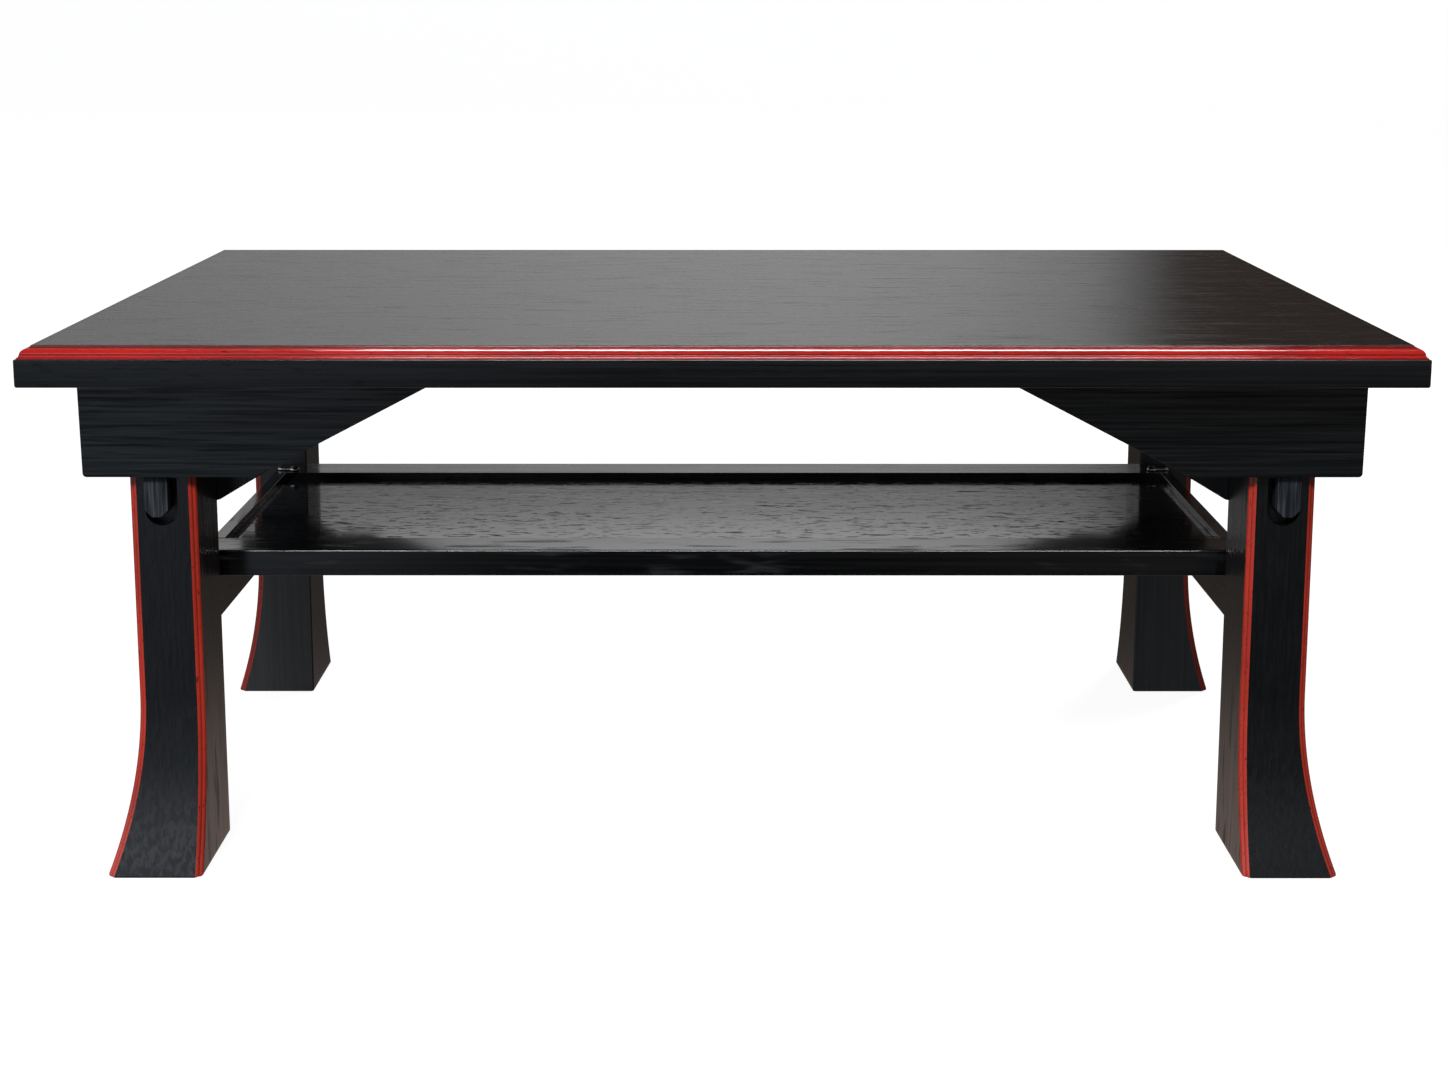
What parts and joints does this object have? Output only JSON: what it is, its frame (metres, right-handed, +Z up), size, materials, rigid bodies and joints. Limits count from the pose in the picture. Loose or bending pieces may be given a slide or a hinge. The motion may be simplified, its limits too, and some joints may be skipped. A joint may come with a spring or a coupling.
{
  "type": "folding low desk",
  "caption": "Low lacquered floor desk with moulded top, flared legs that fold inwards in pairs, a shelf tray between them, and sliding lock bolts.",
  "frame": {"origin": "on the floor under the middle of the top", "axes": "+X along the long side, +Y towards the back, +Z up; the sitter is at -Y"},
  "size_m": [0.75, 0.562, 0.306],
  "materials": {
    "black_lacquer": "gloss black lacquer over open grain",
    "moulded_edge": "gloss vermilion lacquer on a black band",
    "bolt_wood": "worn dark wood, open grain",
    "steel": "bright wire"
  },
  "bodies": {
    "top": {"top_panel": "black_lacquer", "edging_front": "moulded_edge", "edging_back": "moulded_edge", "edging_left": "moulded_edge", "edging_right": "moulded_edge", "bracket_front_left": "black_lacquer", "bracket_front_right": "black_lacquer", "bracket_back_left": "black_lacquer", "bracket_back_right": "black_lacquer", "cheek_front_left": "black_lacquer", "cheek_front_right": "black_lacquer", "cheek_back_left": "black_lacquer", "cheek_back_right": "black_lacquer", "pivot_pins": "steel"},
    "frame_left": {"leg_front_left": "black_lacquer", "leg_back_left": "black_lacquer", "stretcher_left": "black_lacquer"},
    "frame_right": {"leg_front_right": "black_lacquer", "leg_back_right": "black_lacquer", "stretcher_right": "black_lacquer"},
    "lock_front_left": {"bolt_front_left": "bolt_wood"},
    "lock_front_right": {"bolt_front_right": "bolt_wood"},
    "lock_back_left": {"bolt_back_left": "bolt_wood"},
    "lock_back_right": {"bolt_back_right": "bolt_wood"},
    "tray": {"tray_rail_front": "black_lacquer", "tray_rail_back": "black_lacquer", "tray_rim_left": "black_lacquer", "tray_rim_right": "black_lacquer", "tray_panel": "black_lacquer", "hook_screws": "steel"},
    "wire_left": {"hook_left": "steel"},
    "wire_right": {"hook_right": "steel"}
  },
  "joints": [
    {"name": "fold_left", "type": "hinge", "parent": "top", "child": "frame_left", "pos_m": [-0.3151, 0, 0.244], "axis": [0, -1, 0], "range_deg": [0, 90]},
    {"name": "fold_right", "type": "hinge", "parent": "top", "child": "frame_right", "pos_m": [0.3151, 0, 0.244], "axis": [0, 1, 0], "range_deg": [0, 90]},
    {"name": "tray_lift", "type": "slide", "parent": "top", "child": "tray", "axis": [0, 0, 1], "range_m": [0, 0.10682]},
    {"name": "bolt_slide_front_left", "type": "slide", "parent": "frame_left", "child": "lock_front_left", "axis": [0, 0, 1], "range_m": [0, 0.008]},
    {"name": "bolt_slide_back_left", "type": "slide", "parent": "frame_left", "child": "lock_back_left", "axis": [0, 0, 1], "range_m": [0, 0.008]},
    {"name": "bolt_slide_front_right", "type": "slide", "parent": "frame_right", "child": "lock_front_right", "axis": [0, 0, 1], "range_m": [0, 0.008]},
    {"name": "bolt_slide_back_right", "type": "slide", "parent": "frame_right", "child": "lock_back_right", "axis": [0, 0, 1], "range_m": [0, 0.008]},
    {"name": "hook_turn_left", "type": "hinge", "parent": "tray", "child": "wire_left", "pos_m": [-0.295, 0.1193, 0.1695], "axis": [0, 0, -1], "range_deg": [0, 60]},
    {"name": "hook_turn_right", "type": "hinge", "parent": "tray", "child": "wire_right", "pos_m": [0.295, 0.1193, 0.1695], "axis": [0, 0, 1], "range_deg": [0, 60]}
  ],
  "couplings": [
    {"joint": "fold_right", "follows": "fold_left", "ratio": 1},
    {"joint": "tray_lift", "follows": "fold_left", "m_per_rad": 0.068}
  ]
}
